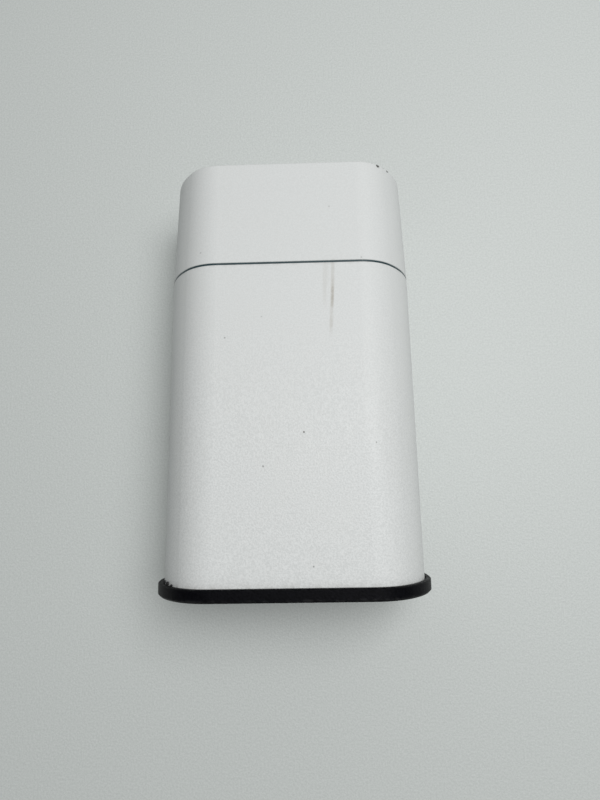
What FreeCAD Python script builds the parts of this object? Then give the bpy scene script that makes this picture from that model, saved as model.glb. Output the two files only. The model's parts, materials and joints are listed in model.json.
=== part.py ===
# Portable battery-powered Wi-Fi hotspot: a tapered off-white sleeve on a black base, a pull-off end cap
# above a thin coloured ring, and the electronics on a chassis inside.
#
# Every piece is drawn in the device's own axes: X across the width, Y from the base (0) to the cap's
# end, Z through the depth with +Z out of the front face. The last section lays the finished device on
# its back, so that the base's rim and the cap's far edge both touch the ground at Z = 0.
import FreeCAD
import Part
import math
import os

Vector = FreeCAD.Vector
X_AXIS = Vector(1, 0, 0)
Y_AXIS = Vector(0, 1, 0)
Z_AXIS = Vector(0, 0, 1)

# ---------------------------------------------------------------- driving dimensions (millimetres)
# housing
body_width = 70.0          # sleeve at the base's lip
body_depth = 42.2
sleeve_length = 82.65      # from the lip to the ring
cap_length = 29.25
sleeve_taper = 0.8         # loss per side over the sleeve
cap_taper = 1.25           # loss per side over the cap
face_radius = 12.0         # each corner is two tangent arcs: a tight one next to the face
side_radius = 23.2         # and a slack one next to the side
sleeve_wall = 2.4
cap_wall = 1.6
cap_end_wall = 2.0
cap_end_round = 0.6
seam_break = 0.12          # broken edges either side of the ring

# base
base_height = 3.25
base_overhang = 1.65
base_floor = 1.2
lip_gap = 0.35
base_chamfer = 0.5
lip_break = 0.25
pad_thickness = 0.8
pad_recess = 0.6
pad_margin = 0.6

# ring and neck
ring_band = 0.5
ring_recess = 0.08
ring_skirt_wall = 0.75
ring_skirt_length = 5.65
neck_height = 7.85
neck_wall = 1.6
deck_thickness = 2.4
collar_skirt_length = 11.65
seal_height = 1.5
seal_depth = 0.85
seal_offset = 3.0          # from the neck's foot
magnet_radius = 3.0
magnet_thickness = 1.6
magnet_inset = 10.0        # from the outline at the ring
magnet_boss_radius = 4.0

# clearances
fit_gap = 0.05             # between seated pieces of one body
slide_gap = 0.1            # round pieces that travel
cap_gap = 0.15             # cap over neck
cap_seat_gap = 0.02        # cap above the ring
cell_gap = 0.4

# board and what stands on it
board_thickness = 1.2
board_to_back = 7.6        # board's component face to the outline's back at the ring
board_edge_room = 12.0     # outline at the ring to the board's side edge
board_to_deck = 1.6
board_corner = 1.5
shield_height = 1.8
module_size = 30.0
module_height = 2.4

# chassis
chassis_plate = 1.5
standoff_height = 1.8
standoff_radius = 2.5
bay_edge_room = 8.5
bay_front_room = 8.2
bay_wall = 1.2
bay_start = 10.0
bay_to_collar = 2.0
end_plate_thickness = 2.0
boss_radius = 3.0
boss_length = 9.0
post_radius = 2.0
post_place = 9.0           # from the bay's start and, halved, from its end
neck_boss_radius = 2.7
clamp_thickness = 0.8
foam_thickness = 0.8
heat_spreader_thickness = 0.8

# fasteners
screw_radius = 1.0
screw_head_radius = 1.9
screw_head_height = 0.9
screw_grip = 5.0

# ports and controls
panel_width = 15.0
panel_start = 7.5
panel_length = 33.5
panel_corner = 3.0
panel_thickness = 1.2
panel_lip = 1.0
panel_lip_depth = 0.85
panel_recess = 0.15
usb_width = 8.94
usb_height = 3.16
usb_wall = 0.3
usb_place = 6.5            # from the panel's start
button_place = 19.0
light_place = 28.5
button_radius = 3.2
button_flange = 1.0
button_flange_height = 0.8
button_proud = 0.35
button_travel = 0.4
button_stem_radius = 1.5
switch_size = 4.5
switch_height = 2.0
switch_plunger = 0.8
light_pipe_radius = 1.1
led_height = 0.6
tray_width = 10.6
tray_thickness = 1.0
tray_depth = 16.4
tray_face_width = 13.6
tray_face_height = 2.4
tray_face_thickness = 1.0
tray_place = 8.0
card_width = 8.8
card_length = 12.3
card_thickness = 0.67
socket_length = 14.0
socket_shell = 0.2
reset_place = -8.0
reset_radius = 1.0
reset_travel = 0.3
reset_recess = 0.8

# antennas and cables
foil_thickness = 0.4
coax_radius = 0.56
coax_bend = 1.5
lead_radius = 0.7

# ---------------------------------------------------------------- places that follow from them
ring_y = sleeve_length
cap_y = sleeve_length + ring_band + cap_seat_gap
total_length = sleeve_length + ring_band + cap_length
base_half_width = body_width / 2
base_half_depth = body_depth / 2
ring_half_width = base_half_width - sleeve_taper
ring_half_depth = base_half_depth - sleeve_taper
floor_y = base_floor - base_height + pad_recess
deck_y = ring_y + ring_band + neck_height
deck_under = deck_y - deck_thickness
collar_start = ring_y - collar_skirt_length
neck_inset = cap_wall + cap_gap
ring_inset = sleeve_wall + fit_gap
collar_inset = ring_inset + ring_skirt_wall + fit_gap
hollow_inset = collar_inset + neck_wall

board_back = board_to_back - ring_half_depth
board_front = board_back + board_thickness
board_half = ring_half_width - board_edge_room
board_end = deck_under - board_to_deck
plate_back = board_front + standoff_height
plate_front = plate_back + chassis_plate
bay_half = ring_half_width - bay_edge_room
bay_front = ring_half_depth - bay_front_room
bay_end = collar_start - bay_to_collar
boss_x = base_half_width - 15.0
board_start = floor_y + boss_length + 0.9
post_x = bay_half + bay_wall - post_radius
boss_z = base_half_depth - 11.6
neck_boss_x = ring_half_width - 18.0
neck_boss_z = 4.0
wifi_x = neck_boss_x - 6.0
magnet_x = ring_half_width - magnet_inset
board_screw_x = board_half - 3.0
board_screw_near = 20.0
board_screw_far = bay_end
panel_end = panel_start + panel_length
usb_y = panel_start + usb_place
button_y = panel_start + button_place
light_y = panel_start + light_place
lead_y = bay_start + 3.0
lead_x = -(board_half + 1.7)


# ---------------------------------------------------------------- shapes
def outline(y, part):
    """Half width, half depth and the two corner radii of the outer surface at y, on sleeve or cap."""
    if part == "sleeve":
        inward = sleeve_taper * y / ring_y
    else:
        inward = sleeve_taper + cap_taper * (y - ring_y) / (total_length - ring_y)
    half_depth = base_half_depth - inward
    corner_drop = face_radius + (side_radius - face_radius) * math.sqrt(0.5)
    shrink = min(1.0, (half_depth - 0.5) / corner_drop)
    return base_half_width - inward, half_depth, face_radius * shrink, side_radius * shrink


def section(y, half_width, half_depth, face_arc, side_arc):
    """Rounded rectangle in the plane at y; the two arcs of a corner meet halfway round it."""
    part_way = (side_arc - face_arc) * math.sqrt(0.5)
    flat_x = half_width - side_arc + part_way
    flat_z = half_depth - face_arc - part_way
    side_centre = half_width - side_arc
    face_centre = half_depth - face_arc

    def on_corner(centre_x, centre_z, radius, degrees):
        angle = math.radians(degrees)
        return Vector(sx * (centre_x + radius * math.cos(angle)), y,
                      sz * (centre_z + radius * math.sin(angle)))

    edges = []
    for sx, sz in ((1, 1), (-1, 1), (-1, -1), (1, -1)):
        points = [on_corner(side_centre, flat_z, side_arc, degrees) for degrees in (0, 22.5, 45)]
        points += [on_corner(flat_x, face_centre, face_arc, degrees) for degrees in (67.5, 90)]
        if sx != sz:
            points.reverse()
        if edges:
            edges.append(Part.makeLine(last, points[0]))
        else:
            first = points[0]
        edges.append(Part.Arc(*points[:3]).toShape())
        edges.append(Part.Arc(*points[2:]).toShape())
        last = points[-1]
    edges.append(Part.makeLine(last, first))
    return Part.Wire(edges)


def inset_section(y, part, inset, height=None):
    """The outer outline drawn in by inset, placed at height (at y itself if none is given)."""
    half_width, half_depth, face_arc, side_arc = outline(y, part)
    return section(y if height is None else height, half_width - inset, half_depth - inset,
                   max(face_arc - inset, 1.0), max(side_arc - inset, 1.0))


def tapered(part, y0, y1, inset, end_inset=None):
    """Solid that follows the outer surface between y0 and y1."""
    end_inset = inset if end_inset is None else end_inset
    wires = [inset_section(y0, part, inset), inset_section(y1, part, end_inset)]
    return Part.makeLoft(wires, True, True)


def straight(y0, y1, inset, end_inset=None):
    """Solid with the base's own outline, parallel to Y."""
    end_inset = inset if end_inset is None else end_inset
    wires = [inset_section(0, "sleeve", inset, y0), inset_section(0, "sleeve", end_inset, y1)]
    return Part.makeLoft(wires, True, True)


def tube(part, y0, y1, outer, inner):
    """Open ring between two insets."""
    spare = 0.5
    return tapered(part, y0, y1, outer).cut(tapered(part, y0 - spare, y1 + spare, inner))


def box(x0, x1, y0, y1, z0, z1):
    return Part.makeBox(x1 - x0, y1 - y0, z1 - z0, Vector(x0, y0, z0))


def rounded_box(x0, x1, y0, y1, z0, z1, radius, axis):
    """Box with its four edges along one axis rounded."""
    shape = box(x0, x1, y0, y1, z0, z1)
    chosen = []
    for edge in shape.Edges:
        along = edge.tangentAt(edge.FirstParameter)
        if abs(along.dot(axis)) > 0.99:
            chosen.append(edge)
    return shape.makeFillet(radius, chosen)


def rod(radius, x, y, z, axis, length):
    return Part.makeCylinder(radius, length, Vector(x, y, z), axis)


def join(shapes):
    whole = shapes[0].multiFuse(shapes[1:])
    return whole.removeSplitter()


def group(shapes):
    return Part.makeCompound(shapes)


def screw(x, y, z, axis, length):
    """Pan-headed screw with a cross recess: the head stands behind the point, the shank runs along axis."""
    head = rod(screw_head_radius, x, y, z, axis * -1, screw_head_height)
    shank = rod(screw_radius, x, y, z, axis, length)
    body = join([head, shank])
    outer = Vector(x, y, z) - axis * screw_head_height
    slot = 0.5
    depth = 0.5
    reach = screw_head_radius * 0.6
    if abs(axis.dot(Y_AXIS)) > 0.5:
        bars = [(reach, depth, slot / 2), (slot / 2, depth, reach)]
    else:
        bars = [(reach, slot / 2, depth), (slot / 2, reach, depth)]
    for dx, dy, dz in bars:
        body = body.cut(box(outer.x - dx, outer.x + dx, outer.y - dy, outer.y + dy, outer.z - dz, outer.z + dz))
    return body


def cable(points, radius, bend):
    """Round cable along straight runs joined by tangent arcs."""
    corners = [Vector(*p) for p in points]
    edges = []
    start = corners[0]
    for before, corner, after in zip(corners, corners[1:], corners[2:]):
        way_in = (before - corner).normalize()
        way_out = (after - corner).normalize()
        half_angle = way_in.getAngle(way_out) / 2
        trim = bend / math.tan(half_angle)
        centre_way = (way_in + way_out).normalize()
        arc_start = corner + way_in * trim
        arc_end = corner + way_out * trim
        arc_middle = corner + centre_way * (bend / math.sin(half_angle) - bend)
        edges.append(Part.makeLine(start, arc_start))
        edges.append(Part.Arc(arc_start, arc_middle, arc_end).toShape())
        start = arc_end
    edges.append(Part.makeLine(start, corners[-1]))
    path = Part.Wire(edges)
    way = (corners[1] - corners[0]).normalize()
    ring = Part.Wire(Part.makeCircle(radius, corners[0], way))
    return path.makePipeShell([ring], True, True)


def round_edges(shape, radius, wanted):
    """Fillet the edges whose centre passes the test."""
    chosen = [edge for edge in shape.Edges if wanted(edge)]
    return shape.makeFillet(radius, chosen)


# ---------------------------------------------------------------- housing
def panel_solid(margin, z_outer, z_step, z_inner):
    """Plate and inner lip of the port panel; margin draws it out, for the sleeve's own cut."""
    half = panel_width / 2 + margin
    near = panel_start - margin
    far = panel_end + margin
    plate = rounded_box(-half, half, near, far, z_outer, z_step, panel_corner + margin, Z_AXIS)
    lip = rounded_box(-half + panel_lip, half - panel_lip, near + panel_lip, far - panel_lip,
                      z_outer, z_inner, panel_corner - panel_lip + margin, Z_AXIS)
    return plate.fuse(lip).removeSplitter()


panel_face = panel_recess - outline(panel_end, "sleeve")[1]
panel_step = panel_face + panel_thickness
panel_inner = panel_step + panel_lip_depth


def main_sleeve():
    shell = tapered("sleeve", floor_y, ring_y - seam_break, 0.0)
    edge = tapered("sleeve", ring_y - seam_break, ring_y, 0.0, seam_break)
    hollow = tapered("sleeve", floor_y - 1.0, ring_y + 1.0, sleeve_wall)
    port = panel_solid(fit_gap, -base_half_depth - 1.0, panel_step + fit_gap, 4.0 - base_half_depth)
    return shell.fuse(edge).removeSplitter().cut(hollow).cut(port)


def end_cap():
    edge = tapered("cap", cap_y, cap_y + seam_break, seam_break, 0.0)
    shell = tapered("cap", cap_y + seam_break, total_length, 0.0)
    shell = round_edges(shell, cap_end_round, lambda e: e.BoundBox.YMin > total_length - 0.01)
    hollow = tapered("cap", cap_y - 1.0, total_length - cap_end_wall, cap_wall)
    cap = edge.fuse(shell).removeSplitter().cut(hollow)
    foot = deck_y + 2 * slide_gap
    length = total_length - cap_end_wall - foot + 0.5
    for side in (-1, 1):
        column = rod(magnet_boss_radius, side * magnet_x, foot, 0, Y_AXIS, length)
        pocket = rod(magnet_radius + fit_gap, side * magnet_x, foot - 1.0, 0, Y_AXIS,
                     magnet_thickness + fit_gap + 1.0)
        cap = cap.fuse(column).cut(pocket)
    return cap.removeSplitter()


def status_ring():
    band = tube("sleeve", ring_y, ring_y + ring_band, ring_recess, collar_inset - fit_gap)
    skirt = tube("sleeve", ring_y - ring_skirt_length, ring_y, ring_inset, collar_inset - fit_gap)
    return band.fuse(skirt).removeSplitter()


def neck_collar():
    skirt = tapered("sleeve", collar_start, ring_y + ring_band, collar_inset)
    neck = tapered("cap", ring_y + ring_band, deck_y, neck_inset)
    collar = skirt.fuse(neck)
    collar = collar.cut(tapered("sleeve", collar_start - 1.0, deck_under, hollow_inset))
    seal_y = ring_y + ring_band + seal_offset
    collar = collar.cut(tube("cap", seal_y, seal_y + seal_height, -1.0, neck_inset + seal_depth))
    for side in (-1, 1):
        collar = collar.cut(rod(magnet_radius + fit_gap, side * magnet_x, deck_y + 1.0, 0, Y_AXIS * -1,
                                magnet_thickness + 2 * fit_gap + 1.0))
        collar = collar.cut(rod(screw_radius + slide_gap, side * neck_boss_x, deck_under - 1.0,
                                neck_boss_z, Y_AXIS, deck_thickness + 2.0))
        collar = collar.cut(rod(screw_head_radius + slide_gap, side * neck_boss_x,
                                deck_y + 1.0, neck_boss_z, Y_AXIS * -1, screw_head_height + 1.2))
    slot_half = tray_width / 2 + slide_gap
    slot_deep = tray_thickness / 2 + slide_gap
    face_half = tray_face_width / 2 + slide_gap
    face_deep = tray_face_height / 2 + slide_gap
    collar = collar.cut(box(tray_place - slot_half, tray_place + slot_half, deck_under - 1.0, deck_y + 1.0,
                            tray_z - slot_deep, tray_z + slot_deep))
    collar = collar.cut(box(tray_place - face_half, tray_place + face_half,
                            deck_y - tray_face_thickness - slide_gap, deck_y + 1.0,
                            tray_z - face_deep, tray_z + face_deep))
    collar = collar.cut(rod(reset_radius + slide_gap, reset_place, deck_under - 1.0, reset_z, Y_AXIS,
                            deck_thickness + 2.0))
    return collar.removeSplitter()


def neck_seal():
    seal_y = ring_y + ring_band + seal_offset
    return tube("cap", seal_y + fit_gap, seal_y + seal_height - fit_gap, cap_wall + 2 * fit_gap,
                neck_inset + seal_depth - fit_gap)


def base_tray():
    low = straight(-base_height, -base_height + base_chamfer, base_chamfer - base_overhang, -base_overhang)
    wall = straight(-base_height + base_chamfer, -lip_break, -base_overhang)
    rim = straight(-lip_break, 0.0, -base_overhang, lip_break - base_overhang)
    tray = join([low, wall, rim])
    tray = tray.cut(straight(floor_y, 1.0, -lip_gap))
    tray = tray.cut(straight(-base_height - 1.0, -base_height + pad_recess, pad_margin))
    for x, z in base_screw_places():
        tray = tray.cut(rod(screw_radius + slide_gap, x, -base_height - 1.0, z, Y_AXIS, base_height + 1.0))
        tray = tray.cut(rod(screw_head_radius + slide_gap, x, -base_height, z, Y_AXIS,
                            pad_recess + screw_head_height + fit_gap))
    return tray


def base_screw_places():
    return [(sx * boss_x, sz * boss_z) for sx in (-1, 1) for sz in (-1, 1)]


def base_pad():
    bottom = -base_height + pad_recess - pad_thickness
    edge = straight(bottom, bottom + lip_break, pad_margin + fit_gap + lip_break, pad_margin + fit_gap)
    slab = straight(bottom + lip_break, -base_height + pad_recess - fit_gap, pad_margin + fit_gap)
    return edge.fuse(slab).removeSplitter()


def base_screws():
    seat = -base_height + pad_recess + screw_head_height
    return group([screw(x, seat, z, Y_AXIS, boss_length - 2.0) for x, z in base_screw_places()])


def collar_screws():
    seat = deck_y - 0.2 - screw_head_height
    return group([screw(side * neck_boss_x, seat, neck_boss_z, Y_AXIS * -1, screw_grip + 2.0)
                  for side in (-1, 1)])


def magnets(y):
    return group([rod(magnet_radius, side * magnet_x, y, 0, Y_AXIS, magnet_thickness) for side in (-1, 1)])


# ---------------------------------------------------------------- chassis and battery
def chassis():
    plate_half = bay_half - 0.5
    parts = [box(-plate_half, plate_half, floor_y, board_end, plate_back, plate_front)]
    parts.append(rounded_box(-boss_x - 5.0, boss_x + 5.0, floor_y, floor_y + end_plate_thickness,
                             -boss_z - 4.0, boss_z + 4.0, 3.5, Y_AXIS))
    bay_outer = bay_half + bay_wall
    walls = box(-bay_outer, bay_outer, bay_start, bay_end + bay_wall, plate_back, bay_front)
    walls = walls.cut(box(-bay_half, bay_half, bay_start + bay_wall, bay_end, plate_front, bay_front + 1.0))
    parts.append(walls)
    for x, z in base_screw_places():
        parts.append(rod(boss_radius, x, floor_y, z, Y_AXIS, boss_length))
    for side in (-1, 1):
        parts.append(rod(neck_boss_radius, side * neck_boss_x, bay_end, neck_boss_z, Y_AXIS,
                         deck_under - bay_end))
        for y in (board_screw_near, board_screw_far):
            parts.append(rod(standoff_radius, side * board_screw_x, y, plate_front, Z_AXIS * -1,
                             plate_front - board_front))
        for y in clamp_screw_places():
            parts.append(rod(post_radius, side * post_x, y, plate_front, Z_AXIS, bay_front - plate_front))
    parts.append(box(-neck_boss_x - 1.0, neck_boss_x + 1.0, bay_end + 5.0, deck_under - 1.0,
                     bridge_z - 1.2, bridge_z))
    frame = join(parts)
    for x, z in base_screw_places():
        frame = frame.cut(rod(screw_radius + fit_gap, x, floor_y - 1.0, z, Y_AXIS, boss_length))
    for side in (-1, 1):
        frame = frame.cut(rod(screw_radius + fit_gap, side * neck_boss_x, deck_under + 1.0, neck_boss_z,
                              Y_AXIS * -1, screw_grip + 2.0))
        for y in (board_screw_near, board_screw_far):
            frame = frame.cut(rod(screw_radius + fit_gap, side * board_screw_x, y, board_front - 1.0,
                                  Z_AXIS, plate_front - board_front + 0.8))
        for y in clamp_screw_places():
            frame = frame.cut(rod(screw_radius + fit_gap, side * post_x, y, bay_front + 1.0,
                                  Z_AXIS * -1, screw_grip + 1.0))
        frame = frame.cut(box(side * wifi_x - 1.5, side * wifi_x + 1.5, bay_end + bay_wall + 0.3,
                              bay_end + 4.5, plate_back - 1.0, plate_front + 1.0))
    frame = frame.cut(box(-bay_half, lead_x + 1.2, bay_start + bay_wall, lead_y + 2.0,
                          plate_back - 1.0, plate_front + 1.0))
    return frame.removeSplitter()


def clamp_screw_places():
    return (bay_start + post_place, bay_end - post_place / 2)


bridge_z = neck_boss_z + 3.2
cell_near = lead_y + 2.2
cell_room = bay_front - plate_front - foam_thickness - cell_gap
cell_thickness = cell_room / 2


def battery_cell(z0):
    """Flat pouch cell: a soft-edged pack with a sealed terrace and two tabs towards the base."""
    half = post_x - post_radius - cell_gap
    near = cell_near + 3.0
    far = bay_end - cell_gap
    top = z0 + cell_thickness - fit_gap
    pouch = rounded_box(-half, half, near, far, z0, top, min(1.6, cell_thickness / 3), Y_AXIS)
    middle = (z0 + top) / 2
    terrace = box(-half + 2.0, half - 2.0, near - 2.4, near, middle - 0.25, middle + 0.25)
    tabs = [box(x - 2.5, x + 2.5, cell_near, near - 2.4, middle - 0.1, middle + 0.1)
            for x in (-half / 2, half / 2)]
    return join([pouch, terrace] + tabs)


def battery_foam():
    half = post_x - post_radius - cell_gap
    z0 = plate_front + 2 * cell_thickness + fit_gap
    sheet = rounded_box(-half + 2.0, half - 2.0, cell_near + 5.0, bay_end - 3.0, z0, z0 + foam_thickness,
                        2.0, Z_AXIS)
    for count in range(-1, 2):
        x = count * half / 2
        sheet = sheet.cut(box(x - 3.0, x + 3.0, cell_near + 10.0, bay_end - 8.0, z0 - 1.0, z0 + 2.0))
    return sheet


def battery_clamp():
    half = bay_half + bay_wall
    clamp = rounded_box(-half - 0.7, half + 0.7, bay_start, bay_end + bay_wall, bay_front,
                        bay_front + clamp_thickness, 2.0, Z_AXIS)
    for side in (-1, 1):
        for y in clamp_screw_places():
            clamp = clamp.cut(rod(screw_radius + slide_gap, side * post_x, y, bay_front - 1.0,
                                  Z_AXIS, 3.0))
    rows = 4
    pitch = (bay_end - bay_start - 16.0) / rows
    for row in range(rows):
        y = bay_start + 8.0 + pitch * (row + 0.5)
        clamp = clamp.cut(rounded_box(-half + 8.0, half - 8.0, y - pitch / 4, y + pitch / 4,
                                      bay_front - 1.0, bay_front + 2.0, pitch / 5, Z_AXIS))
    return clamp


def clamp_screws():
    top = bay_front + clamp_thickness
    return group([screw(side * post_x, y, top, Z_AXIS * -1, screw_grip)
                  for side in (-1, 1) for y in clamp_screw_places()])


def protection_board():
    half = bay_half - 5.0
    y0 = bay_start + bay_wall + fit_gap
    board = box(-half, half, y0, y0 + 0.8, plate_front + 0.5, plate_front + 6.5)
    parts = [board]
    for x in (-12.0, -6.0, 4.0, 10.0):
        parts.append(box(x, x + 3.0, y0 + 0.8, y0 + 1.6, plate_front + 2.0, plate_front + 4.6))
    return join(parts)


def battery_lead():
    connector_x = -(board_half - 3.6)
    wires = []
    for y in (lead_y - 0.8, lead_y + 0.8):
        route = [(lead_x, y, plate_front + 4.0), (lead_x, y, lead_z), (connector_x - 2.4, y, lead_z)]
        wires.append(cable(route, lead_radius, coax_bend))
    return group(wires)


lead_z = board_back - 1.6


def battery_connector():
    x = -(board_half - 3.6)
    body = box(x - 2.4, x + 2.4, lead_y - 2.6, lead_y + 2.6, board_back - 2.8, board_back)
    return body.cut(box(x - 1.6, x + 1.6, lead_y - 1.8, lead_y + 1.8, board_back - 3.0, board_back - 2.2))


# ---------------------------------------------------------------- boards and components
def board_screw_places():
    return [(side * board_screw_x, y) for side in (-1, 1) for y in (board_screw_near, board_screw_far)]


def main_board():
    board = rounded_box(-board_half, board_half, board_start, board_end, board_back, board_front,
                        board_corner, Z_AXIS)
    for x, y in board_screw_places():
        board = board.cut(rod(screw_radius + slide_gap, x, y, board_back - 1.0, Z_AXIS, 4.0))
    return board


def board_screws():
    return group([screw(x, y, board_back, Z_AXIS, screw_grip - 1.0) for x, y in board_screw_places()])


def shield(x0, x1, y0, y1, height):
    """Pressed can: rounded lid over thin walls, with a row of vent holes."""
    can = rounded_box(x0, x1, y0, y1, board_back - height, board_back, 0.8, Z_AXIS)
    can = can.cut(box(x0 + 0.3, x1 - 0.3, y0 + 0.3, y1 - 0.3, board_back - height + 0.3, board_back + 1.0))
    holes = 4
    for count in range(holes):
        y = y0 + (y1 - y0) * (count + 0.5) / holes
        can = can.cut(rod(0.5, (x0 + x1) / 2, y, board_back - height - 1.0, Z_AXIS, 2.0))
    return can


shield_near = board_screw_near + 4.0
shield_far = panel_end
module_near = panel_end + 2.5


def processor_shield():
    return shield(1.0 - board_half, -panel_width / 2 - 1.0, shield_near, shield_far, shield_height)


def wifi_shield():
    return shield(panel_width / 2 + 1.0, board_half - 1.0, shield_near, shield_far, shield_height)


def cellular_module():
    half = module_size / 2
    end = min(module_near + module_size, board_end - socket_length - 1.0)
    carrier = box(-half, half, module_near, end, board_back - 0.8, board_back)
    lid = rounded_box(0.8 - half, half - 0.8, module_near + 0.8, end - 0.8, board_back - module_height,
                      board_back - 0.8, 1.2, Z_AXIS)
    return carrier.fuse(lid).removeSplitter()


def thermal_pad():
    far = min(module_near + 24.0, bay_end - 2.0)
    return box(-12.0, 12.0, module_near + 2.0, far, board_front,
               plate_back - heat_spreader_thickness)


def heat_spreader():
    return rounded_box(-board_screw_x + 4.0, board_screw_x - 4.0, board_screw_near + 4.0,
                       board_screw_far - 4.0, plate_back - heat_spreader_thickness, plate_back, 1.5, Z_AXIS)


tray_z = board_back - socket_shell - slide_gap - tray_thickness / 2
reset_z = board_back - 1.0


def sim_socket():
    half = tray_width / 2 + slide_gap + 1.6
    depth = tray_thickness + 2 * slide_gap + 2 * socket_shell
    shell = box(tray_place - half, tray_place + half, board_end - socket_length, board_end,
                board_back - depth, board_back)
    slot_half = tray_width / 2 + slide_gap
    slot_deep = tray_thickness / 2 + slide_gap
    return shell.cut(box(tray_place - slot_half, tray_place + slot_half, board_end - socket_length + 0.6,
                         board_end + 1.0, tray_z - slot_deep, tray_z + slot_deep))


def sim_tray():
    half = tray_width / 2
    inner_end = deck_y - tray_depth
    plate = box(tray_place - half, tray_place + half, inner_end, deck_y - tray_face_thickness,
                tray_z - tray_thickness / 2, tray_z + tray_thickness / 2)
    face = rounded_box(tray_place - tray_face_width / 2, tray_place + tray_face_width / 2,
                       deck_y - tray_face_thickness, deck_y, tray_z - tray_face_height / 2,
                       tray_z + tray_face_height / 2, 1.1, Y_AXIS)
    tray = plate.fuse(face).removeSplitter()
    card = card_pocket(fit_gap)
    hole = rod(0.4, tray_place + tray_face_width / 2 - 1.6, deck_y - 2.0, tray_z, Y_AXIS, 3.0)
    return tray.cut(card).cut(hole)


def card_pocket(margin):
    near = deck_y - tray_depth + 0.8
    return box(tray_place - card_width / 2 - margin, tray_place + card_width / 2 + margin, near - margin,
               near + card_length + margin, tray_z - tray_thickness / 2 - (1.0 if margin else 0.0),
               tray_z - tray_thickness / 2 + card_thickness + margin)


def sim_card():
    return card_pocket(0.0)


def stadium(half_width, half_height, y, z0, z1):
    radius = half_height - 0.01
    return rounded_box(-half_width, half_width, y - half_height, y + half_height, z0, z1, radius, Z_AXIS)


def usb_socket():
    mouth = panel_face + 0.2
    shell = stadium(usb_width / 2, usb_height / 2, usb_y, mouth, board_back)
    hollow = stadium(usb_width / 2 - usb_wall, usb_height / 2 - usb_wall, usb_y, mouth - 1.0,
                     board_back - 2.0)
    tongue = box(-3.35, 3.35, usb_y - 0.35, usb_y + 0.35, mouth + 0.9, board_back - 1.5)
    foot = box(-5.2, 5.2, usb_y - 2.4, usb_y + 2.4, board_back - 1.4, board_back)
    return join([shell.cut(hollow), tongue, foot])


def port_panel():
    panel = panel_solid(0.0, panel_face, panel_step, panel_inner)
    panel = panel.cut(stadium(usb_width / 2 + slide_gap, usb_height / 2 + slide_gap, usb_y,
                              panel_face - 1.0, panel_inner + 1.0))
    panel = panel.cut(rod(button_radius + slide_gap, 0, button_y, panel_face - 1.0, Z_AXIS, 5.0))
    return panel.cut(rod(light_pipe_radius + fit_gap, 0, light_y, panel_face - 1.0, Z_AXIS, 5.0))


def power_button():
    outer = panel_face - button_proud
    flange_z = panel_inner + fit_gap
    crown = rod(button_radius, 0, button_y, outer, Z_AXIS, flange_z - outer)
    crown = round_edges(crown, 0.25, lambda e: e.BoundBox.ZMax < outer + 0.01)
    flange = rod(button_radius + button_flange, 0, button_y, flange_z, Z_AXIS, button_flange_height)
    stem_end = board_back - switch_height - switch_plunger - button_travel - slide_gap
    stem = rod(button_stem_radius, 0, button_y, flange_z, Z_AXIS, stem_end - flange_z)
    return join([crown, flange, stem])


def power_switch():
    half = switch_size / 2
    body = rounded_box(-half, half, button_y - half, button_y + half, board_back - switch_height,
                       board_back, 0.5, Z_AXIS)
    plunger = rod(1.1, 0, button_y, board_back - switch_height, Z_AXIS * -1, switch_plunger)
    return body.fuse(plunger).removeSplitter()


def charge_led():
    return box(-0.8, 0.8, light_y - 0.4, light_y + 0.4, board_back - led_height, board_back)


def charge_light_pipe():
    inner = board_back - led_height - 0.2
    pipe = rod(light_pipe_radius, 0, light_y, panel_face + fit_gap, Z_AXIS, inner - panel_face - fit_gap)
    flange = rod(light_pipe_radius + 0.7, 0, light_y, panel_inner + fit_gap, Z_AXIS, 0.8)
    return pipe.fuse(flange).removeSplitter()


reset_switch_end = board_end + slide_gap


def reset_button():
    foot = reset_switch_end + reset_travel + slide_gap
    pin = rod(reset_radius, reset_place, foot, reset_z, Y_AXIS, deck_y - reset_recess - foot)
    flange = rod(reset_radius + 0.6, reset_place, foot, reset_z, Y_AXIS, 0.8)
    return pin.fuse(flange).removeSplitter()


def reset_switch():
    body = box(reset_place - 2.2, reset_place + 2.2, reset_switch_end - 4.0, reset_switch_end - 0.8,
               board_back - 1.9, board_back)
    plunger = rod(0.6, reset_place, reset_switch_end - 0.8, reset_z, Y_AXIS, 0.8)
    return body.fuse(plunger).removeSplitter()


# ---------------------------------------------------------------- ring light, antennas, cables
led_y = ring_y - ring_skirt_length - 0.2
strip_z = outline(collar_start, "sleeve")[1] - collar_inset + fit_gap


def led_strip():
    return box(-12.0, 12.0, collar_start + 0.5, led_y, strip_z, strip_z + 0.25)


def ring_leds():
    return group([box(x - 0.8, x + 0.8, led_y - 0.8, led_y, strip_z + 0.25, strip_z + 0.6)
                  for x in (-9.0, -3.0, 3.0, 9.0)])


def side_antenna(side):
    """Foil radiator on the bay's side wall: a meander cut from one strip."""
    x0 = bay_half + bay_wall
    x1 = x0 + foil_thickness
    near = bay_start + 8.0
    far = bay_end - 8.0
    low = plate_front + 1.0
    high = bay_front - 2.0
    foil = box(x0, x1, near, far, low, high)
    slots = 5
    pitch = (far - near) / slots
    for count in range(slots):
        y = near + pitch * (count + 0.5)
        bottom = low + 1.5 if count % 2 else low - 1.0
        top = high + 1.0 if count % 2 else high - 1.5
        foil = foil.cut(box(x0 - 1.0, x1 + 1.0, y - 1.2, y + 1.2, bottom, top))
    return foil if side > 0 else foil.mirror(Vector(0, 0, 0), X_AXIS)


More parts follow.
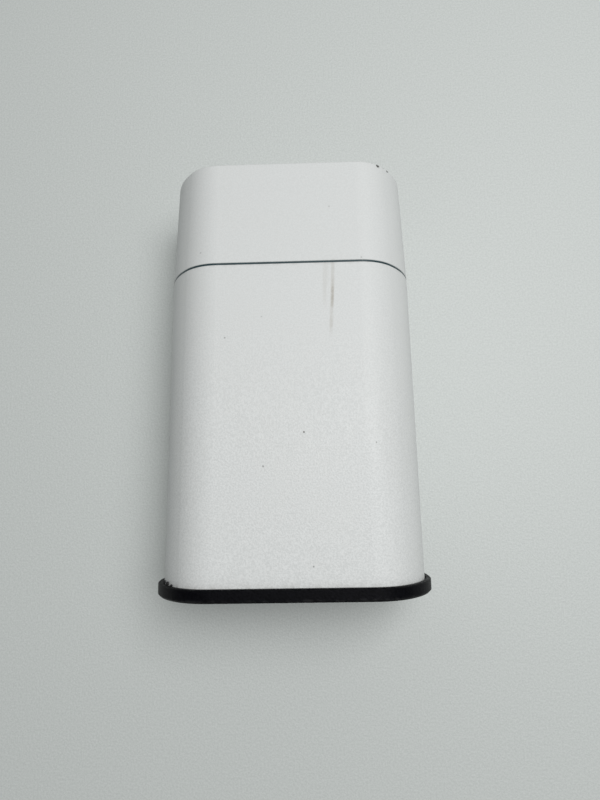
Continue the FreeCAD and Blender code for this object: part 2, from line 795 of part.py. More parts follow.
def wifi_antenna(side):
    near = bay_end + 6.0
    far = deck_under - 2.0
    foil = box(wifi_x - 6.0, wifi_x + 6.0, near, far, bridge_z, bridge_z + foil_thickness)
    foil = foil.cut(box(wifi_x - 4.5, wifi_x + 7.0, near + 4.0, near + 5.5, bridge_z - 1.0, bridge_z + 1.0))
    foil = foil.cut(box(wifi_x - 7.0, wifi_x + 4.5, near + 8.0, near + 9.5, bridge_z - 1.0, bridge_z + 1.0))
    return foil if side > 0 else foil.mirror(Vector(0, 0, 0), X_AXIS)


def side_coax(side):
    """From the foil on the bay's wall, round the board's edge, to the cellular module."""
    top = bay_half + bay_wall + foil_thickness + coax_radius
    bent = top - 1.1
    y = min(module_near + 6.0, bay_end - 10.0)
    z = board_back - 0.8 - coax_radius
    route = [(side * top, y, plate_front + 3.0), (side * top, y, plate_front - 2.0),
             (side * bent, y, z), (side * module_size / 2, y, z)]
    return cable(route, coax_radius, coax_bend)


def wifi_coax(side):
    """From the foil on the bridge, down through the chassis plate, to the board's front."""
    x = side * wifi_x
    drop = bay_end + 3.0
    top = bridge_z + foil_thickness + coax_radius
    low = board_front + coax_radius
    route = [(x, drop + 5.0, top), (x, drop, top), (x, drop, low), (x, drop + 5.0, low)]
    return cable(route, coax_radius, coax_bend)


# ---------------------------------------------------------------- assembly
def all_pieces():
    return {
        "main_sleeve": main_sleeve(),
        "end_cap": end_cap(),
        "status_ring": status_ring(),
        "neck_collar": neck_collar(),
        "neck_seal": neck_seal(),
        "collar_screws": collar_screws(),
        "collar_magnets": magnets(deck_y - magnet_thickness - fit_gap),
        "cap_magnets": magnets(deck_y + 2 * slide_gap),
        "base_tray": base_tray(),
        "base_pad": base_pad(),
        "base_screws": base_screws(),
        "chassis": chassis(),
        "battery_cell_rear": battery_cell(plate_front),
        "battery_cell_front": battery_cell(plate_front + cell_thickness),
        "battery_foam": battery_foam(),
        "battery_clamp": battery_clamp(),
        "clamp_screws": clamp_screws(),
        "protection_board": protection_board(),
        "battery_lead": battery_lead(),
        "battery_connector": battery_connector(),
        "main_board": main_board(),
        "board_screws": board_screws(),
        "cellular_module": cellular_module(),
        "processor_shield": processor_shield(),
        "wifi_shield": wifi_shield(),
        "thermal_pad": thermal_pad(),
        "heat_spreader": heat_spreader(),
        "sim_socket": sim_socket(),
        "sim_tray": sim_tray(),
        "sim_card": sim_card(),
        "port_panel": port_panel(),
        "usb_socket": usb_socket(),
        "power_button": power_button(),
        "power_switch": power_switch(),
        "charge_led": charge_led(),
        "charge_light_pipe": charge_light_pipe(),
        "reset_button": reset_button(),
        "reset_switch": reset_switch(),
        "led_strip": led_strip(),
        "ring_leds": ring_leds(),
        "main_antenna": side_antenna(1),
        "diversity_antenna": side_antenna(-1),
        "wifi_antenna_right": wifi_antenna(1),
        "wifi_antenna_left": wifi_antenna(-1),
        "coax_main": side_coax(1),
        "coax_diversity": side_coax(-1),
        "coax_wifi_right": wifi_coax(1),
        "coax_wifi_left": wifi_coax(-1),
    }


# lying on its back: the line from the base's lower rim to the cap's lower edge is brought level
rim_drop = base_half_depth + base_overhang
end_drop = outline(total_length, "cap")[1]
rim_y = -lip_break
end_y = total_length - cap_end_round
lie_angle = math.atan2(rim_drop - end_drop, end_y - rim_y)
turn = FreeCAD.Rotation(X_AXIS, -math.degrees(lie_angle))
pieces = all_pieces()
laid = FreeCAD.BoundBox()
for shape in pieces.values():
    shape.Placement = FreeCAD.Placement(Vector(0, 0, 0), turn).multiply(shape.Placement)
    laid.add(shape.optimalBoundingBox(False))
origin_shift = Vector(0, -(laid.YMin + laid.YMax) / 2, -laid.ZMin)

os.makedirs("parts", exist_ok=True)
for name, shape in pieces.items():
    shape.translate(origin_shift)
    shape.exportStep("parts/" + name + ".step")
    print(name, "valid" if shape.isValid() else "INVALID", len(shape.Solids), round(shape.Volume, 2))
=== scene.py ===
# Mobile hotspot: finishes, fine details, floor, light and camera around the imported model.
import json
import math
import random

import bmesh
import bpy
from mathutils import Matrix, Vector


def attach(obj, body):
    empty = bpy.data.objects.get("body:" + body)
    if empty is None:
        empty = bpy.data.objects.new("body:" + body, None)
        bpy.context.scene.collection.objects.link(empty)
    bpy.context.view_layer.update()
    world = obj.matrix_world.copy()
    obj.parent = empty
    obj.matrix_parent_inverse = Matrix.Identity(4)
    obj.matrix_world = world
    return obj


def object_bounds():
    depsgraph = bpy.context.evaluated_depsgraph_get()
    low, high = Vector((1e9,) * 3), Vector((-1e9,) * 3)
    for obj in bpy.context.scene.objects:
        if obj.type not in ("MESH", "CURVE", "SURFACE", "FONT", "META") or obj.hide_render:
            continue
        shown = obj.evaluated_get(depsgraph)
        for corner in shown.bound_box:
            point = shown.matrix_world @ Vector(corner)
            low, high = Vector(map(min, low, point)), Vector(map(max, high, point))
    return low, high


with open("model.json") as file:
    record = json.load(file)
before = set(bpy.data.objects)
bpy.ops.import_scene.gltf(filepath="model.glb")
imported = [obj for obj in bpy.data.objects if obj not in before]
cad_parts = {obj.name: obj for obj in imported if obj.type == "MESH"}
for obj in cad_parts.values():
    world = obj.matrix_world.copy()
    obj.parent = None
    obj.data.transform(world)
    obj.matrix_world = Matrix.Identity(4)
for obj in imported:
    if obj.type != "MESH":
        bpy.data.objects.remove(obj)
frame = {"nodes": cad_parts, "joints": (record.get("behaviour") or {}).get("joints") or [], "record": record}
cad_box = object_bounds()

MM = 0.001

# ---------------------------------------------------------------- the device's own axes
# X runs across the width, Y from the base's lip towards the cap, Z out of the front face.
axis_of = {joint["name"]: Vector(joint["axis"]).normalized() for joint in frame["joints"]}
long_way = axis_of["cap_pull"]
face_way = axis_of["power_press"]
across = long_way.cross(face_way)
axes = Matrix((across, long_way, face_way))


def extent(node_name):
    """Lowest and highest corner of a CAD node, measured along the device's axes."""
    turned = [axes @ vertex.co for vertex in frame["nodes"][node_name].data.vertices]
    low = Vector(min(point[i] for point in turned) for i in range(3))
    high = Vector(max(point[i] for point in turned) for i in range(3))
    return low, high


tray_low, tray_high = extent("base_tray")
lip_centre = Vector((0, tray_high.y, (tray_low.z + tray_high.z) / 2))
device = axes.transposed().to_4x4() @ Matrix.Translation(lip_centre)
to_device = device.inverted()


def device_extent(node_name):
    """Lowest and highest corner of a CAD node in the device's axes, from the lip's centre."""
    low, high = extent(node_name)
    return low - lip_centre, high - lip_centre


RING_LEVEL = device_extent("main_sleeve")[1].y
BASE_LEVEL = tray_low.y - lip_centre.y


def cap_rim(x):
    """Point on the end cap's front rim, at its far end, nearest this X; all in millimetres."""
    corners = [(to_device @ vertex.co) / MM for vertex in frame["nodes"]["end_cap"].data.vertices]
    return max(corners, key=lambda point: point.y + 1.6 * point.z - 3 * abs(point.x - x))


# ---------------------------------------------------------------- shader helpers
def plug(tree, socket, value):
    """Link a socket to another, or set it to a plain value."""
    if isinstance(value, bpy.types.NodeSocket):
        tree.links.new(value, socket)
    else:
        socket.default_value = value


def node(tree, kind, inputs=None, **settings):
    """Add a shader node, set its options, and set or link its sockets."""
    made = tree.nodes.new("ShaderNode" + kind)
    for name, value in settings.items():
        setattr(made, name, value)
    for key, value in (inputs or {}).items():
        plug(tree, made.inputs[key], value)
    return made


def calc(tree, operation, a, b=0.0, c=0.0, clamp=False):
    inputs = {0: a, 1: b, 2: c}
    return node(tree, "Math", inputs, operation=operation, use_clamp=clamp).outputs[0]


def ramp(tree, value, low, high, out_low=0.0, out_high=1.0):
    """Smooth step of a value from low to high."""
    inputs = {0: value, 1: low, 2: high, 3: out_low, 4: out_high}
    return node(tree, "MapRange", inputs, interpolation_type="SMOOTHSTEP").outputs[0]


def mixed(tree, share, a, b):
    return node(tree, "Mix", {0: share, 6: a, 7: b}, data_type="RGBA").outputs[2]


def noise(tree, where, scale, detail=2.0, roughness=0.5):
    inputs = {"Vector": where, "Scale": scale, "Detail": detail, "Roughness": roughness}
    return node(tree, "TexNoise", inputs).outputs["Fac"]


def colour(red, green, blue):
    return (red, green, blue, 1.0)


def new_group(name, inputs, outputs):
    """Empty shader group with named sockets; returns its tree, its inputs and its outputs."""
    tree = bpy.data.node_groups.new(name, "ShaderNodeTree")
    for label, kind, default in inputs:
        socket = tree.interface.new_socket(label, in_out="INPUT", socket_type="NodeSocket" + kind)
        if default is not None:
            socket.default_value = default
    for label in outputs:
        tree.interface.new_socket(label, in_out="OUTPUT", socket_type="NodeSocketFloat")
    source = tree.nodes.new("NodeGroupInput")
    target = tree.nodes.new("NodeGroupOutput")
    return tree, source.outputs, target.inputs


def use(tree, group, inputs):
    """Place a shader group in a material and set or link its inputs."""
    made = tree.nodes.new("ShaderNodeGroup")
    made.node_tree = group
    for key, value in inputs.items():
        plug(tree, made.inputs[key], value)
    return made.outputs


# ---------------------------------------------------------------- shared effects
def make_moulded_grain():
    """Spark-eroded mould texture: small soft pits, with fine speckle and slow mottle in tone."""
    inputs = [("Vector", "Vector", None), ("Scale", "Float", 2500.0)]
    tree, given, out = new_group("moulded_grain", inputs, ["Height", "Speckle", "Mottle"])
    where, scale = given["Vector"], given["Scale"]
    pits = node(tree, "TexVoronoi", {"Vector": where, "Scale": scale, "Smoothness": 0.8},
                feature="SMOOTH_F1").outputs["Distance"]
    fine = noise(tree, where, calc(tree, "MULTIPLY", scale, 1.7), 1.0)
    plug(tree, out["Height"], calc(tree, "MULTIPLY_ADD", fine, 0.6, pits))
    plug(tree, out["Speckle"], ramp(tree, noise(tree, where, scale, 1.0, 0.8), 0.32, 0.68))
    mottle = noise(tree, where, calc(tree, "MULTIPLY", scale, 0.03), 4.0, 0.6)
    plug(tree, out["Mottle"], ramp(tree, mottle, 0.3, 0.7))
    return tree


def make_handling():
    """Where hands have polished or dulled a surface: broad soft patches with faint streaks."""
    inputs = [("Vector", "Vector", None), ("Scale", "Float", 45.0)]
    tree, given, out = new_group("handling", inputs, ["Mask"])
    patches = noise(tree, given["Vector"], given["Scale"], 3.0)
    stretched = node(tree, "Mapping", {"Vector": given["Vector"], "Scale": (6.0, 0.8, 6.0)}).outputs[0]
    streaks = noise(tree, stretched, calc(tree, "MULTIPLY", given["Scale"], 4.0))
    thin = ramp(tree, streaks, 0.5, 0.8, 0.5, 1.0)
    plug(tree, out["Mask"], calc(tree, "MULTIPLY", ramp(tree, patches, 0.42, 0.68), thin))
    return tree


def make_dust():
    """Sparse specks of dust, each a small irregular dot."""
    inputs = [("Vector", "Vector", None), ("Scale", "Float", 220.0), ("Size", "Float", 0.05)]
    tree, given, out = new_group("dust", inputs, ["Mask"])
    warp = node(tree, "TexNoise", {"Vector": given["Vector"], "Scale": 1800.0}).outputs["Color"]
    shift = {0: warp, 1: (0.0004, 0.0004, 0.0004)}
    offset = node(tree, "VectorMath", shift, operation="MULTIPLY").outputs[0]
    moved = node(tree, "VectorMath", {0: given["Vector"], 1: offset}, operation="ADD").outputs[0]
    cells = node(tree, "TexVoronoi", {"Vector": moved, "Scale": given["Scale"]})
    inside = calc(tree, "LESS_THAN", cells.outputs["Distance"], given["Size"])
    which = node(tree, "SeparateColor", {0: cells.outputs["Color"]}).outputs[0]
    plug(tree, out["Mask"], calc(tree, "MULTIPLY", inside, calc(tree, "GREATER_THAN", which, 0.72)))
    return tree


def make_level_band():
    """Band along one level of Y, broken up by noise: rubbed wear on the base, a darker band on the housing.
    """
    inputs = [("Vector", "Vector", None), ("Level", "Float", 0.0), ("Reach", "Float", 0.0006)]
    tree, given, out = new_group("level_band", inputs, ["Mask"])
    height = node(tree, "SeparateXYZ", {0: given["Vector"]}).outputs["Y"]
    away = calc(tree, "ABSOLUTE", calc(tree, "SUBTRACT", height, given["Level"]))
    near = calc(tree, "SUBTRACT", 1.0, calc(tree, "DIVIDE", away, given["Reach"]), clamp=True)
    share = ramp(tree, noise(tree, given["Vector"], 650.0, 4.0), 0.4, 0.65)
    plug(tree, out["Mask"], calc(tree, "MULTIPLY", near, share))
    return tree


moulded_grain = make_moulded_grain()
handling = make_handling()
dust = make_dust()
level_band = make_level_band()


# ---------------------------------------------------------------- finishes
def new_material(name):
    """Material with a Principled shader, and coordinates along the device's own axes."""
    material = bpy.data.materials.new(name)
    material.use_nodes = True
    tree = material.node_tree
    shader = tree.nodes["Principled BSDF"]
    place = node(tree, "TexCoord").outputs["Object"]
    inputs = {"Vector": place, "Location": to_device.translation, "Rotation": to_device.to_euler()}
    return material, tree, shader, node(tree, "Mapping", inputs).outputs[0]


def set_bump(tree, shader, height, strength, distance):
    bump = node(tree, "Bump", {"Height": height, "Strength": strength, "Distance": distance})
    plug(tree, shader.inputs["Normal"], bump.outputs[0])


def on_front(tree, where):
    return calc(tree, "GREATER_THAN", node(tree, "SeparateXYZ", {0: where}).outputs["Z"], 0.0)


def spots(tree, where, marks):
    """Mask of small ragged marks; each is its X, Y and Z, its radius and its strength."""
    ragged = calc(tree, "ADD", noise(tree, where, 2600.0), 0.5)
    total = None
    for x, y, z, radius, strength in marks:
        inputs = {0: where, 1: (x * MM, y * MM, z * MM)}
        gap = node(tree, "VectorMath", inputs, operation="DISTANCE").outputs["Value"]
        away = calc(tree, "MULTIPLY", gap, ragged)
        mark = ramp(tree, away, radius * MM, radius * MM * 0.5, 0.0, strength)
        total = mark if total is None else calc(tree, "MAXIMUM", total, mark)
    return total


def front_specks(tree, where, marks):
    """Mask of small ragged marks on the front, each placed by its X and Y alone."""
    flat = node(tree, "VectorMath", {0: where, 1: (1.0, 1.0, 0.0)}, operation="MULTIPLY").outputs[0]
    placed = [(x, y, 0.0, radius, strength) for x, y, radius, strength in marks]
    return calc(tree, "MULTIPLY", spots(tree, flat, placed), on_front(tree, where))


def scuff(tree, where, x, slope, y_low, y_high, half_width):
    """Mask of a scuff that runs along Y on the front, with ragged sides."""
    parts = node(tree, "SeparateXYZ", {0: where})
    line = calc(tree, "MULTIPLY_ADD", parts.outputs["Y"], slope, (x - slope * y_low) * MM)
    wander = calc(tree, "MULTIPLY", calc(tree, "SUBTRACT", noise(tree, where, 160.0), 0.5), half_width * MM)
    offset = calc(tree, "SUBTRACT", parts.outputs["X"], line)
    away = calc(tree, "ABSOLUTE", calc(tree, "SUBTRACT", offset, wander))
    side = ramp(tree, away, half_width * MM, half_width * MM * 0.2)
    start = ramp(tree, parts.outputs["Y"], (y_low - 1.0) * MM, (y_low + 2.5) * MM)
    end = ramp(tree, parts.outputs["Y"], (y_high + 1.0) * MM, (y_high - 2.5) * MM)
    patchy = ramp(tree, noise(tree, where, 420.0, 4.0, 0.7), 0.3, 0.6, 0.5, 1.0)
    along = calc(tree, "MULTIPLY", calc(tree, "MULTIPLY", start, end), patchy)
    return calc(tree, "MULTIPLY", calc(tree, "MULTIPLY", side, along), on_front(tree, where))


# where the housing's front is marked: X, Y, radius and strength, in millimetres from the lip's centre
DARK_SPECKS = [(-6.95, 68.1, 0.28, 0.25), (-16.5, 62.6, 0.28, 0.45), (-23.3, 86.6, 0.32, 0.25),
               (19.6, 83.8, 0.30, 0.28), (11.4, 98.8, 0.35, 0.2), (3.6, 37.6, 0.30, 0.85),
               (5.4, 4.9, 0.30, 0.5), (21.7, 34.7, 0.28, 0.45), (-6.7, 29.2, 0.32, 0.5)]
# nicks along the front of the cap's far rim: X, radius and strength
RIM_NICKS = [(25.3, 0.75, 0.95), (28.3, 0.65, 0.9), (27.0, 0.3, 0.5), (23.6, 0.3, 0.35)]
# each scuff's X at its lower end, slope, lower and upper end, half width and strength
SCUFFS = [(11.0, 0.052, 63.0, 83.6, 0.70, 0.28), (11.5, 0.052, 70.0, 78.0, 0.55, 0.34),
          (9.5, 0.03, 70.5, 83.6, 0.80, 0.13), (10.4, 0.03, 76.0, 83.6, 0.5, 0.08)]


def housing_plastic():
    """Off-white moulding, grain tone fading to the cap as painted grazing light; beige scuff below the ring,
    dark specks.
    """
    material, tree, shader, where = new_material("housing_plastic")
    grain = use(tree, moulded_grain, {"Vector": where, "Scale": 2300.0})
    level = node(tree, "SeparateXYZ", {0: where}).outputs["Y"]
    # the grain's share falls towards the cap: its bump gets shallower, and its fading tone speckle is
    # painted grazing light
    grain_and_painted_light = ramp(tree, level, 0.35 * RING_LEVEL, RING_LEVEL, 1.0, 0.4)
    speckle = calc(tree, "MULTIPLY_ADD", calc(tree, "SUBTRACT", grain["Speckle"], 0.5), grain_and_painted_light, 0.5)
    tint = mixed(tree, speckle, colour(0.645, 0.658, 0.655), colour(0.745, 0.758, 0.755))
    tint = mixed(tree, calc(tree, "MULTIPLY", grain["Mottle"], 0.2), tint, colour(0.69, 0.70, 0.685))
    hands = use(tree, handling, {"Vector": where, "Scale": 38.0})["Mask"]
    tint = mixed(tree, calc(tree, "MULTIPLY", hands, 0.15), tint, colour(0.65, 0.655, 0.635))
    rubbed = None
    for x, slope, y_low, y_high, half_width, strength in SCUFFS:
        mask = calc(tree, "MULTIPLY", scuff(tree, where, x, slope, y_low, y_high, half_width), strength)
        rubbed = mask if rubbed is None else calc(tree, "ADD", rubbed, mask, clamp=True)
    tint = mixed(tree, rubbed, tint, colour(0.34, 0.30, 0.235))
    # darker band, broken up by noise, along the ring and along the foot beside the base's lip
    ring_band = use(tree, level_band, {"Vector": where, "Level": RING_LEVEL, "Reach": 0.0008})["Mask"]
    foot_band = use(tree, level_band, {"Vector": where, "Level": 0.0, "Reach": 0.0014})["Mask"]
    darker_bands = calc(tree, "MULTIPLY", calc(tree, "ADD", ring_band, foot_band), 0.3)
    tint = mixed(tree, darker_bands, tint, colour(0.40, 0.39, 0.37))
    tint = mixed(tree, front_specks(tree, where, DARK_SPECKS), tint, colour(0.06, 0.055, 0.05))
    nicks = [(*cap_rim(x), radius, strength) for x, radius, strength in RIM_NICKS]
    tint = mixed(tree, spots(tree, where, nicks), tint, colour(0.05, 0.047, 0.043))
    plug(tree, shader.inputs["Base Color"], tint)
    sheen = ramp(tree, hands, 0.0, 1.0, 0.52, 0.42)
    plug(tree, shader.inputs["Roughness"], calc(tree, "MULTIPLY_ADD", rubbed, 0.15, sheen))
    shader.inputs["Specular IOR Level"].default_value = 0.35
    set_bump(tree, shader, calc(tree, "MULTIPLY", grain["Height"], grain_and_painted_light), 0.8, 0.00005)
    return material


def ring_plastic():
    """Dark teal light ring, slightly cloudy."""
    material, tree, shader, where = new_material("ring_plastic")
    cloud = noise(tree, where, 400.0, 3.0)
    plug(tree, shader.inputs["Base Color"],
         mixed(tree, cloud, colour(0.020, 0.042, 0.050), colour(0.034, 0.062, 0.070)))
    plug(tree, shader.inputs["Roughness"], ramp(tree, cloud, 0.3, 0.7, 0.28, 0.42))
    shader.inputs["Specular IOR Level"].default_value = 0.3
    set_bump(tree, shader, cloud, 0.1, 0.00005)
    return material


def base_plastic():
    """Black satin moulding, dusty in places and rubbed grey along its lower edge and lip."""
    material, tree, shader, where = new_material("base_plastic")
    grain = use(tree, moulded_grain, {"Vector": where, "Scale": 2000.0})
    tint = mixed(tree, grain["Speckle"], colour(0.0008, 0.0008, 0.0016), colour(0.0030, 0.0030, 0.0045))
    lower = use(tree, level_band, {"Vector": where, "Level": BASE_LEVEL + 0.00045, "Reach": 0.0006})["Mask"]
    lip = use(tree, level_band, {"Vector": where, "Level": 0.0, "Reach": 0.0004})["Mask"]
    worn = calc(tree, "ADD", calc(tree, "MULTIPLY", lower, 0.4), calc(tree, "MULTIPLY", lip, 0.25))
    tint = mixed(tree, worn, tint, colour(0.035, 0.035, 0.036))
    flecks = use(tree, dust, {"Vector": where, "Scale": 260.0, "Size": 0.035})["Mask"]
    tint = mixed(tree, calc(tree, "MULTIPLY", flecks, 0.5), tint, colour(0.16, 0.155, 0.14))
    plug(tree, shader.inputs["Base Color"], tint)
    hands = use(tree, handling, {"Vector": where, "Scale": 60.0})["Mask"]
    plug(tree, shader.inputs["Roughness"], ramp(tree, hands, 0.0, 1.0, 0.5, 0.4))
    shader.inputs["Specular IOR Level"].default_value = 0.06
    set_bump(tree, shader, grain["Height"], 0.6, 0.00005)
    return material


def plain_finish(name, dark, light, roughness, grain_scale, grain_depth, metallic=0.0):
    """Finish of one hidden or small piece: two tones over a grain, uneven sheen and a light bump."""
    material, tree, shader, where = new_material(name)
    grain = use(tree, moulded_grain, {"Vector": where, "Scale": grain_scale})
    share = calc(tree, "MULTIPLY_ADD", grain["Mottle"], 0.6, calc(tree, "MULTIPLY", grain["Speckle"], 0.4))
    plug(tree, shader.inputs["Base Color"], mixed(tree, share, colour(*dark), colour(*light)))
    hands = use(tree, handling, {"Vector": where, "Scale": 70.0})["Mask"]
    plug(tree, shader.inputs["Roughness"], ramp(tree, hands, 0.0, 1.0, roughness + 0.06, roughness - 0.06))
    shader.inputs["Metallic"].default_value = metallic
    set_bump(tree, shader, grain["Height"], 0.5, grain_depth)
    return material


# dark tone, light tone, roughness, grain scale, grain depth and, for metals, metallic share
PLAIN_FINISHES = {
    "pad_rubber": ((0.010, 0.010, 0.011), (0.022, 0.022, 0.023), 0.75, 1500.0, 0.00008),
    "collar_plastic": ((0.030, 0.032, 0.035), (0.048, 0.051, 0.054), 0.45, 2400.0, 0.00004),
    "chassis_plastic": ((0.018, 0.018, 0.020), (0.032, 0.032, 0.035), 0.50, 1800.0, 0.00005),
    "fastener_steel": ((0.42, 0.42, 0.43), (0.60, 0.60, 0.60), 0.32, 3500.0, 0.00001, 1.0),
    "magnet_nickel": ((0.60, 0.60, 0.58), (0.72, 0.72, 0.70), 0.20, 3000.0, 0.00001, 1.0),
    "pouch_foil": ((0.55, 0.56, 0.58), (0.68, 0.69, 0.71), 0.38, 900.0, 0.00003, 0.9),
    "grey_foam": ((0.06, 0.065, 0.07), (0.12, 0.125, 0.13), 0.85, 1400.0, 0.00015),
    "pressed_steel": ((0.50, 0.50, 0.49), (0.66, 0.66, 0.64), 0.34, 2600.0, 0.00001, 1.0),
    "spreader_aluminium": ((0.58, 0.58, 0.59), (0.72, 0.72, 0.73), 0.40, 2600.0, 0.00002, 1.0),
    "board_laminate": ((0.004, 0.050, 0.022), (0.007, 0.070, 0.032), 0.28, 1200.0, 0.00002),
    "sheathed_wire": ((0.015, 0.015, 0.017), (0.030, 0.030, 0.032), 0.45, 2500.0, 0.00002),
    "component_plastic": ((0.55, 0.52, 0.45), (0.66, 0.64, 0.57), 0.45, 2600.0, 0.00002),
    "tray_plastic": ((0.30, 0.31, 0.32), (0.38, 0.39, 0.40), 0.42, 2600.0, 0.00003),
    "card_plastic": ((0.72, 0.72, 0.70), (0.82, 0.82, 0.80), 0.35, 2000.0, 0.00001),
    "led_plastic": ((0.70, 0.62, 0.18), (0.85, 0.78, 0.35), 0.30, 3000.0, 0.00001),
    "flex_film": ((0.28, 0.11, 0.015), (0.40, 0.18, 0.03), 0.25, 1600.0, 0.00001),
    "antenna_copper": ((0.55, 0.26, 0.13), (0.72, 0.38, 0.22), 0.30, 2500.0, 0.00001, 1.0),
    "contact_gold": ((0.70, 0.45, 0.12), (0.85, 0.60, 0.20), 0.25, 3500.0, 0.00001, 1.0),
}


def clear_plastic():
    """Polished acrylic of the light pipe, faintly hazy."""
    material, tree, shader, where = new_material("clear_plastic")
    grain = use(tree, moulded_grain, {"Vector": where, "Scale": 1500.0})
    plug(tree, shader.inputs["Base Color"],
         mixed(tree, grain["Mottle"], colour(0.80, 0.86, 0.88), colour(0.90, 0.93, 0.94)))
    plug(tree, shader.inputs["Roughness"], ramp(tree, grain["Mottle"], 0.0, 1.0, 0.08, 0.16))
    shader.inputs["Transmission Weight"].default_value = 0.8
    shader.inputs["IOR"].default_value = 1.49
    set_bump(tree, shader, grain["Height"], 0.1, 0.00001)
    return material


finishes = {"housing_plastic": housing_plastic(), "ring_plastic": ring_plastic(),
            "base_plastic": base_plastic(), "clear_plastic": clear_plastic()}
for finish_name, values in PLAIN_FINISHES.items():
    finishes[finish_name] = plain_finish(finish_name, *values)

for part in frame["record"]["subparts"]:
    mesh = frame["nodes"][part["node"]].data
    mesh.materials.clear()
    mesh.materials.append(finishes[part["material_slot"]])


# ---------------------------------------------------------------- small pieces
def add_piece(name, shape, finish, body):
    """Make an object of a bmesh drawn in the device's axes, in place, riding on a body."""
    bmesh.ops.transform(shape, matrix=device, verts=shape.verts)
    bmesh.ops.recalc_face_normals(shape, faces=shape.faces)
    mesh = bpy.data.meshes.new(name)
    shape.to_mesh(mesh)
    shape.free()
    mesh.materials.append(finishes[finish])
    piece = bpy.data.objects.new(name, mesh)
    bpy.context.scene.collection.objects.link(piece)
    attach(piece, body)


def add_block(shape, centre, size):
    """Add a box with this centre and size, in millimetres, to a bmesh."""
    place = Matrix.Translation(Vector(centre) * MM) @ Matrix.Diagonal([side * MM for side in size] + [1.0])
    bmesh.ops.create_cube(shape, size=1.0, matrix=place)


def in_mm(node_name):
    """Low corner and centre of a CAD node in the device's axes, in millimetres."""
    low, high = device_extent(node_name)
    return low / MM, (low + high) / (2 * MM)


CONTACT_COUNT = 8
CONTACT_PITCH = 0.7
CONTACT_SIZE = (0.3, 0.05, 2.6)
CONTACT_DEPTH = 2.7        # from the socket's mouth to the middle of a strip
TONGUE_HALF = 0.365        # from the tongue's middle to the middle of a strip's thickness
PAD_SIZE = (3.6, 2.4, 0.05)
PAD_HALF_SPREAD = 2.2      # from the card's middle to the middle of a column of pads
PAD_PITCH = 2.7
PAD_STANDOFF = 0.015       # how far the pads' middle lies outside the card's face
BAR_SIZE = (2.2, 0.5, 0.08)
CRUMB_SPREAD = 0.07        # how far a crumb's surface wanders
# debris at the base's lip: the centre and the size of each crumb
CRUMBS = [((-33.35, 0.45, 10.6), (0.55, 1.0, 0.7)), ((-31.9, 0.4, 13.3), (0.9, 0.9, 0.6)),
          ((-30.4, 0.2, 15.7), (1.0, 0.6, 0.6))]


def make_usb_contacts():
    """Two rows of gilt strips on the tongue of the charging socket."""
    low, centre = in_mm("usb_socket")
    shape = bmesh.new()
    for side in (-1, 1):
        for count in range(CONTACT_COUNT):
            x = (count - (CONTACT_COUNT - 1) / 2) * CONTACT_PITCH
            where = (x, centre.y + side * TONGUE_HALF, low.z + CONTACT_DEPTH)
            add_block(shape, where, CONTACT_SIZE)
    add_piece("usb_contacts", shape, "contact_gold", "housing")


def make_card_contacts():
    """Gilt contact pads on the SIM card, parted by thin gaps."""
    low, centre = in_mm("sim_card")
    shape = bmesh.new()
    for column in (-1, 1):
        for row in (-1, 0, 1):
            x = centre.x + column * PAD_HALF_SPREAD
            add_block(shape, (x, centre.y + row * PAD_PITCH, low.z - PAD_STANDOFF), PAD_SIZE)
    add_piece("card_contacts", shape, "contact_gold", "sim_tray")


def make_lip_crumbs():
    """Dark crumbs of debris caught between the sleeve and the base's lip, at one corner."""
    draw = random.Random(7)
    shape = bmesh.new()
    for centre, size in CRUMBS:
        turn = Matrix.Rotation(draw.uniform(0, math.pi), 4, "Y")
        place = Matrix.Translation(Vector(centre) * MM) @ turn
        place = place @ Matrix.Diagonal([side * MM for side in size] + [1.0])
        lump = bmesh.ops.create_icosphere(shape, subdivisions=2, radius=0.5, matrix=place)["verts"]
        for corner in lump:
            corner.co += Vector(draw.uniform(-CRUMB_SPREAD, CRUMB_SPREAD) for _ in range(3)) * MM
    add_piece("lip_crumbs", shape, "pad_rubber", "housing")


def make_button_mark():
    """Plain raised bar across the power button, a hair proud of its face."""
    low, centre = in_mm("power_button")
    shape = bmesh.new()
    add_block(shape, (centre.x, centre.y, low.z), BAR_SIZE)
    add_piece("button_mark", shape, "tray_plastic", "power_button")


make_usb_contacts()
make_card_contacts()
make_lip_crumbs()
make_button_mark()


# ---------------------------------------------------------------- floor, light, camera
FLOOR_HALF = 1.5
ROOM_COLOUR = (0.80, 0.83, 0.82)
ROOM_STRENGTH = 0.29
KEY_PLACE = (0.17, 0.10, 0.60)
KEY_SIZE = 0.36
KEY_POWER = 2.8
LENS = 26.325
CAMERA_OFFSET = (6.18, -27.82, 189.08)   # millimetres, from the middle of the box's floor
CAMERA_TURN = (7.664, 1.474, -1.005)     # degrees


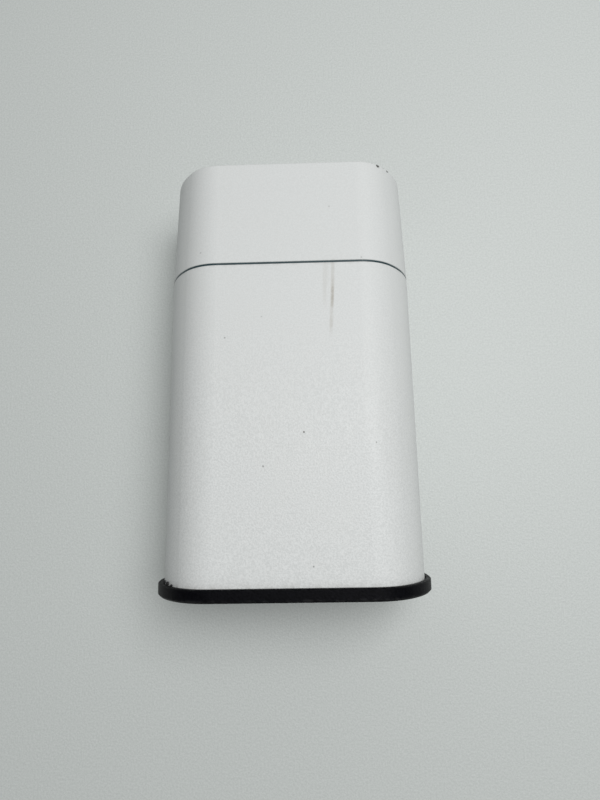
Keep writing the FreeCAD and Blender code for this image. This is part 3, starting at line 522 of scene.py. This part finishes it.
def floor_material():
    """Pale table top with a very fine grain."""
    material = bpy.data.materials.new("table_top")
    material.use_nodes = True
    tree = material.node_tree
    shader = tree.nodes["Principled BSDF"]
    where = node(tree, "TexCoord").outputs["Object"]
    grain = use(tree, moulded_grain, {"Vector": where, "Scale": 1700.0})
    tint = mixed(tree, grain["Speckle"], colour(0.595, 0.622, 0.607), colour(0.655, 0.682, 0.667))
    plug(tree, shader.inputs["Base Color"], tint)
    shader.inputs["Roughness"].default_value = 0.55
    set_bump(tree, shader, grain["Height"], 0.6, 0.00008)
    return material


def make_floor():
    shape = bmesh.new()
    bmesh.ops.create_grid(shape, x_segments=1, y_segments=1, size=FLOOR_HALF)
    mesh = bpy.data.meshes.new("table_top")
    shape.to_mesh(mesh)
    shape.free()
    mesh.materials.append(floor_material())
    table = bpy.data.objects.new("table_top", mesh)
    bpy.context.scene.collection.objects.link(table)


def soft_light(name, place, size, power):
    """Square area light aimed at the device."""
    data = bpy.data.lights.new(name, "AREA")
    data.shape = "SQUARE"
    data.size = size
    data.energy = power
    lamp = bpy.data.objects.new(name, data)
    lamp.location = place
    lamp.rotation_euler = (-Vector(place)).to_track_quat("-Z", "Y").to_euler()
    bpy.context.scene.collection.objects.link(lamp)


def make_lights():
    world = bpy.data.worlds.new("room_light")
    world.use_nodes = True
    background = world.node_tree.nodes["Background"]
    background.inputs["Color"].default_value = colour(*ROOM_COLOUR)
    background.inputs["Strength"].default_value = ROOM_STRENGTH
    bpy.context.scene.world = world
    soft_light("key_light", KEY_PLACE, KEY_SIZE, KEY_POWER)


def make_camera():
    data = bpy.data.cameras.new("camera")
    data.lens = LENS
    data.sensor_width = 36.0
    data.clip_start = 0.005
    camera = bpy.data.objects.new("camera", data)
    middle = (cad_box[0] + cad_box[1]) / 2
    floor_middle = Vector((middle.x, middle.y, cad_box[0].z))
    camera.location = floor_middle + Vector(CAMERA_OFFSET) * MM
    camera.rotation_euler = [math.radians(angle) for angle in CAMERA_TURN]
    bpy.context.scene.collection.objects.link(camera)
    bpy.context.scene.camera = camera


make_floor()
make_lights()
make_camera()
bpy.context.scene.view_settings.view_transform = "Standard"
